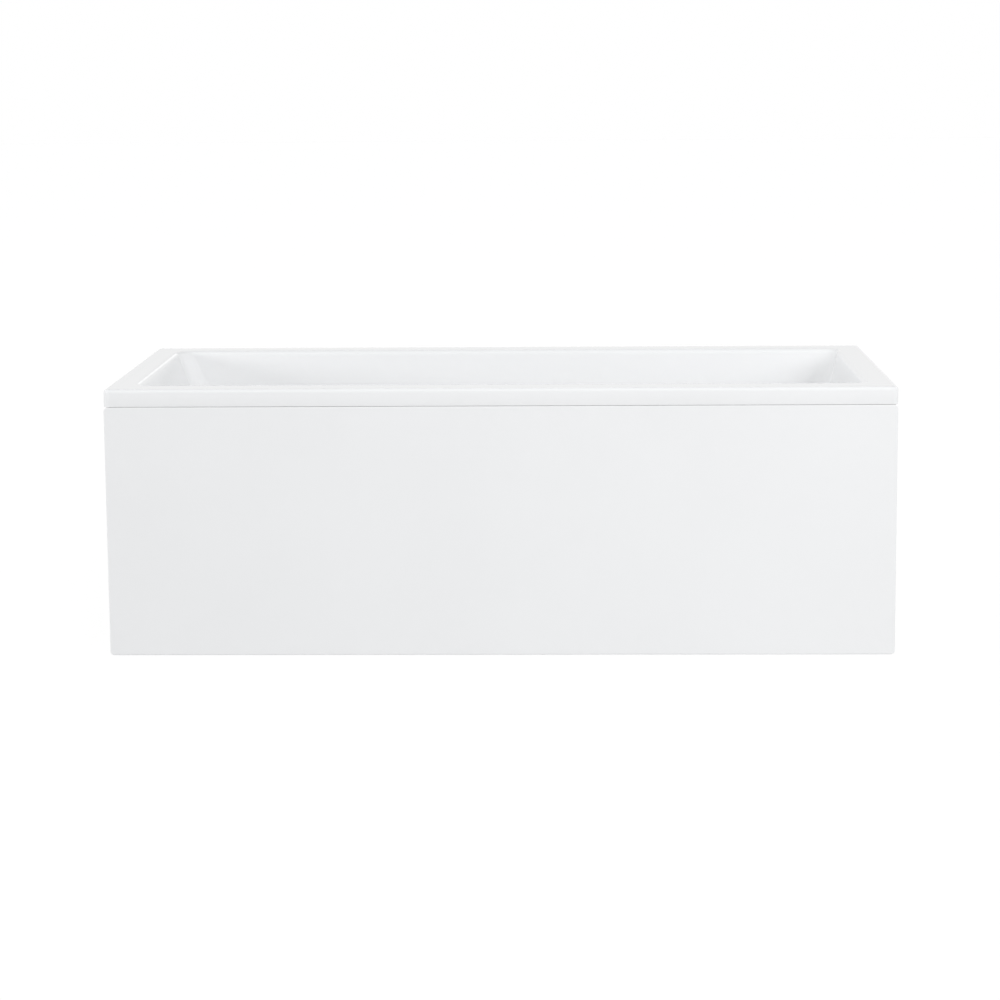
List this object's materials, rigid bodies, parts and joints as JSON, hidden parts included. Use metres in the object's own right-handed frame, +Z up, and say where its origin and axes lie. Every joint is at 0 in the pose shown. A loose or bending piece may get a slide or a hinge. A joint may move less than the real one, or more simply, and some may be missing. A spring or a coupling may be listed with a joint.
{
  "type": "alcove bathtub",
  "caption": "White acrylic alcove bath with flat rim, sloping backrest and front apron panel, on adjustable legs with pop-up waste, overflow and trap",
  "frame": {"origin": "middle of the footprint, on the floor that the legs stand on", "axes": "+X along the length to the foot end with the waste and overflow, -Y to the panel side, +Y to the wall, +Z up"},
  "size_m": [1.7, 0.75, 0.585],
  "materials": {
    "white_acrylic": "high-gloss white cast acrylic",
    "glass_fibre": "chopped-strand glass fibre in resin, rough",
    "chipboard": "raw chipboard",
    "softwood": "sawn softwood",
    "zinc_steel": "zinc-plated steel",
    "black_plastic": "moulded black plastic",
    "white_plastic": "moulded white polypropylene",
    "grey_hose": "flexible grey plastic",
    "rubber": "black rubber",
    "chrome": "polished chrome plate"
  },
  "bodies": {
    "bath": {"bath_shell": "white_acrylic", "shell_reinforcement": "glass_fibre", "base_board": "chipboard", "leg_screws": "zinc_steel", "rim_batten_front": "softwood", "rim_batten_back": "softwood", "rim_batten_head": "softwood", "rim_batten_foot": "softwood", "leg_rail_head": "zinc_steel", "leg_rail_foot": "zinc_steel", "centre_leg_bracket": "zinc_steel", "wall_bracket_head": "zinc_steel", "wall_bracket_foot": "zinc_steel", "wall_bracket_screws": "zinc_steel", "panel_bracket_top_head": "zinc_steel", "panel_bracket_top_foot": "zinc_steel", "panel_bracket_low_head": "zinc_steel", "panel_bracket_low_foot": "zinc_steel", "panel_bracket_screws": "zinc_steel", "panel_clips": "white_plastic", "waste_flange": "chrome", "waste_seal_upper": "rubber", "waste_seal_lower": "rubber", "waste_body": "black_plastic", "overflow_plate": "chrome", "overflow_seal": "rubber", "overflow_body": "black_plastic", "overflow_hose": "grey_hose", "hose_clips": "zinc_steel", "plug_cable": "black_plastic", "trap_body": "white_plastic", "trap_washer": "rubber", "trap_nut": "white_plastic", "trap_outlet_seal": "rubber", "trap_outlet_nut": "white_plastic"},
    "panel": {"front_panel": "white_acrylic", "panel_pins": "white_plastic"},
    "plug_unit": {"plug": "chrome", "plug_seal": "rubber"},
    "lever": {"lift_lever": "zinc_steel"},
    "knob": {"overflow_knob": "chrome", "cable_drum": "black_plastic"},
    "leg_front_head": {"leg_stud_front_head": "zinc_steel", "foot_pad_front_head": "black_plastic"},
    "nuts_front_head": {"leg_nuts_front_head": "zinc_steel"},
    "leg_back_head": {"leg_stud_back_head": "zinc_steel", "foot_pad_back_head": "black_plastic"},
    "nuts_back_head": {"leg_nuts_back_head": "zinc_steel"},
    "leg_front_foot": {"leg_stud_front_foot": "zinc_steel", "foot_pad_front_foot": "black_plastic"},
    "nuts_front_foot": {"leg_nuts_front_foot": "zinc_steel"},
    "leg_back_foot": {"leg_stud_back_foot": "zinc_steel", "foot_pad_back_foot": "black_plastic"},
    "nuts_back_foot": {"leg_nuts_back_foot": "zinc_steel"},
    "leg_centre": {"leg_stud_centre": "zinc_steel", "foot_pad_centre": "black_plastic"},
    "nuts_centre": {"leg_nuts_centre": "zinc_steel"}
  },
  "joints": [
    {"name": "panel_pull", "type": "slide", "parent": "bath", "child": "panel", "axis": [0, -1, 0], "range_m": [0, 0.12]},
    {"name": "knob_turn", "type": "hinge", "parent": "bath", "child": "knob", "pos_m": [0.76929, 0.001, 0.497], "axis": [0.9781, 0, -0.2079], "range_deg": [0, 90]},
    {"name": "plug_lift", "type": "slide", "parent": "bath", "child": "plug_unit", "axis": [0, 0, 1], "range_m": [0, 0.01]},
    {"name": "lever_swing", "type": "hinge", "parent": "bath", "child": "lever", "pos_m": [0.56, -0.017, 0.1368], "axis": [1, 0, 0], "range_deg": [0, 32.26]},
    {"name": "nuts_turn_front_head", "type": "hinge", "parent": "bath", "child": "nuts_front_head", "pos_m": [-0.45, -0.289, 0.1588], "axis": [0, 0, 1], "range_deg": [0, 4114.29]},
    {"name": "leg_extend_front_head", "type": "slide", "parent": "bath", "child": "leg_front_head", "axis": [0, 0, -1], "range_m": [0, 0.02]},
    {"name": "nuts_turn_back_head", "type": "hinge", "parent": "bath", "child": "nuts_back_head", "pos_m": [-0.45, 0.291, 0.1588], "axis": [0, 0, 1], "range_deg": [0, 4114.29]},
    {"name": "leg_extend_back_head", "type": "slide", "parent": "bath", "child": "leg_back_head", "axis": [0, 0, -1], "range_m": [0, 0.02]},
    {"name": "nuts_turn_front_foot", "type": "hinge", "parent": "bath", "child": "nuts_front_foot", "pos_m": [0.39, -0.289, 0.1588], "axis": [0, 0, 1], "range_deg": [0, 4114.29]},
    {"name": "leg_extend_front_foot", "type": "slide", "parent": "bath", "child": "leg_front_foot", "axis": [0, 0, -1], "range_m": [0, 0.02]},
    {"name": "nuts_turn_back_foot", "type": "hinge", "parent": "bath", "child": "nuts_back_foot", "pos_m": [0.39, 0.291, 0.1588], "axis": [0, 0, 1], "range_deg": [0, 4114.29]},
    {"name": "leg_extend_back_foot", "type": "slide", "parent": "bath", "child": "leg_back_foot", "axis": [0, 0, -1], "range_m": [0, 0.02]},
    {"name": "nuts_turn_centre", "type": "hinge", "parent": "bath", "child": "nuts_centre", "pos_m": [-0.03, 0.001, 0.1588], "axis": [0, 0, 1], "range_deg": [0, 4114.29]},
    {"name": "leg_extend_centre", "type": "slide", "parent": "bath", "child": "leg_centre", "axis": [0, 0, -1], "range_m": [0, 0.02]}
  ],
  "couplings": [
    {"joint": "plug_lift", "follows": "knob_turn", "m_per_rad": 0.0063662},
    {"joint": "lever_swing", "follows": "knob_turn", "ratio": 0.35839},
    {"joint": "nuts_turn_front_head", "follows": "leg_extend_front_head", "rad_per_m": 3590.4},
    {"joint": "nuts_turn_back_head", "follows": "leg_extend_back_head", "rad_per_m": 3590.4},
    {"joint": "nuts_turn_front_foot", "follows": "leg_extend_front_foot", "rad_per_m": 3590.4},
    {"joint": "nuts_turn_back_foot", "follows": "leg_extend_back_foot", "rad_per_m": 3590.4},
    {"joint": "nuts_turn_centre", "follows": "leg_extend_centre", "rad_per_m": 3590.4}
  ]
}
